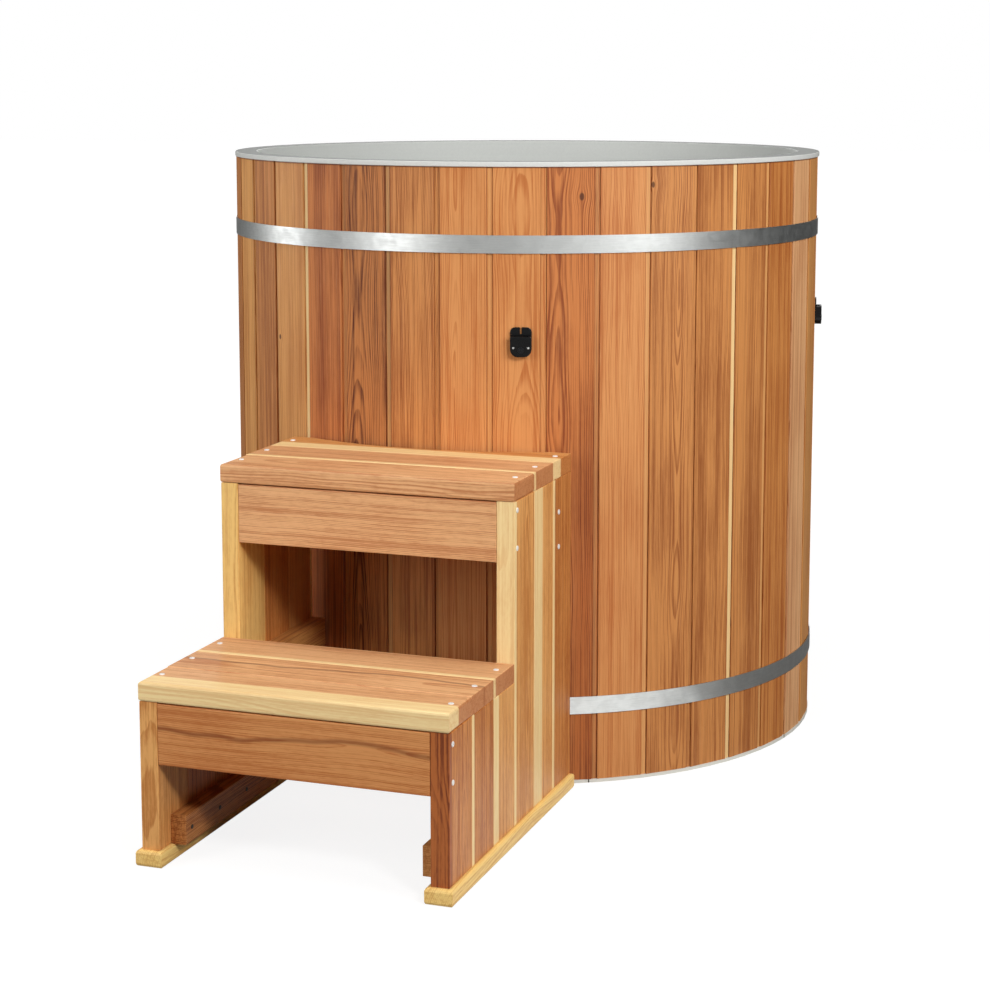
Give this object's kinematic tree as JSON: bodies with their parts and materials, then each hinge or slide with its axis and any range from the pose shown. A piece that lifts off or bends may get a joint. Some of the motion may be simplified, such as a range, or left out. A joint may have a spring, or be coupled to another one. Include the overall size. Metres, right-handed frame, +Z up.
{
  "type": "cold plunge tub",
  "caption": "Round coopered cedar cold plunge tub with a plastic liner, steel hoops, key locks for a cover and a drain valve, with its free-standing two-tread cedar step unit.",
  "frame": {"origin": "on the floor under the tub's axis, at the middle of the base's underside", "axes": "+Z up along the tub's axis, -Y towards the step unit, +X to the right of a person who climbs the steps"},
  "size_m": [1.1549, 1.8044, 1.1187],
  "materials": {
    "cedar": "clear-oiled red cedar, satin",
    "liner_plastic": "smooth grey plastic, satin",
    "base_plastic": "pale grey plastic",
    "hoop_steel": "stainless steel brushed along the band",
    "lock_plastic": "black moulded plastic",
    "lock_metal": "dark plated metal",
    "valve_brass": "cast and turned brass",
    "lever_paint": "dipped steel lever"
  },
  "bodies": {
    "tub": {"stave_pair_01": "cedar", "stave_pair_02": "cedar", "stave_pair_03": "cedar", "stave_pair_04": "cedar", "stave_pair_05": "cedar", "stave_pair_06": "cedar", "stave_pair_07": "cedar", "stave_pair_08": "cedar", "stave_pair_09": "cedar", "stave_pair_10": "cedar", "stave_pair_11": "cedar", "stave_pair_12": "cedar", "stave_pair_13": "cedar", "stave_pair_14": "cedar", "stave_pair_15": "cedar", "stave_pair_16": "cedar", "stave_pair_17": "cedar", "stave_pair_18": "cedar", "stave_pair_19": "cedar", "liner": "liner_plastic", "insulated_base": "base_plastic", "upper_hoop": "hoop_steel", "lower_hoop": "hoop_steel", "front_lock": "lock_plastic", "right_lock": "lock_plastic", "back_lock": "lock_plastic", "left_lock": "lock_plastic", "drain_valve": "valve_brass"},
    "steps": {"left_short_board_1": "cedar", "left_short_board_2": "cedar", "left_short_board_3": "cedar", "left_tall_board_1": "cedar", "left_tall_board_2": "cedar", "left_tall_board_3": "cedar", "right_short_board_1": "cedar", "right_short_board_2": "cedar", "right_short_board_3": "cedar", "right_tall_board_1": "cedar", "right_tall_board_2": "cedar", "right_tall_board_3": "cedar", "left_foot_rail": "cedar", "right_foot_rail": "cedar", "left_low_cleat": "cedar", "right_low_cleat": "cedar", "left_middle_cleat": "cedar", "right_middle_cleat": "cedar", "lower_apron": "cedar", "upper_apron": "cedar", "rear_apron": "cedar", "lower_tread_front": "cedar", "lower_tread_middle": "cedar", "lower_tread_rear": "cedar", "upper_tread_front": "cedar", "upper_tread_middle": "cedar", "upper_tread_rear": "cedar"},
    "front_key_cylinder": {"front_lock_cylinder": "lock_metal"},
    "right_key_cylinder": {"right_lock_cylinder": "lock_metal"},
    "back_key_cylinder": {"back_lock_cylinder": "lock_metal"},
    "left_key_cylinder": {"left_lock_cylinder": "lock_metal"},
    "drain_handle": {"drain_lever": "lever_paint"}
  },
  "joints": [
    {"name": "steps_pull_away", "type": "slide", "parent": "tub", "child": "steps", "axis": [0, -1, 0], "range_m": [0, 0.6]},
    {"name": "front_key_turn", "type": "hinge", "parent": "tub", "child": "front_key_cylinder", "pos_m": [0.17616, -0.54566, 0.7905], "axis": [-0.2939, 0.9558, 0], "range_deg": [0, 90]},
    {"name": "right_key_turn", "type": "hinge", "parent": "tub", "child": "right_key_cylinder", "pos_m": [0.55834, 0.1305, 0.7905], "axis": [-0.9768, -0.214, 0], "range_deg": [0, 90]},
    {"name": "back_key_turn", "type": "hinge", "parent": "tub", "child": "back_key_cylinder", "pos_m": [-0.17616, 0.54566, 0.7905], "axis": [0.2939, -0.9558, 0], "range_deg": [0, 90]},
    {"name": "left_key_turn", "type": "hinge", "parent": "tub", "child": "left_key_cylinder", "pos_m": [-0.56177, -0.11487, 0.7905], "axis": [0.9768, 0.214, 0], "range_deg": [0, 90]},
    {"name": "drain_lever_turn", "type": "hinge", "parent": "tub", "child": "drain_handle", "pos_m": [0.01968, 0.60802, 0.088], "axis": [0, 0, 1], "range_deg": [0, 90]}
  ]
}
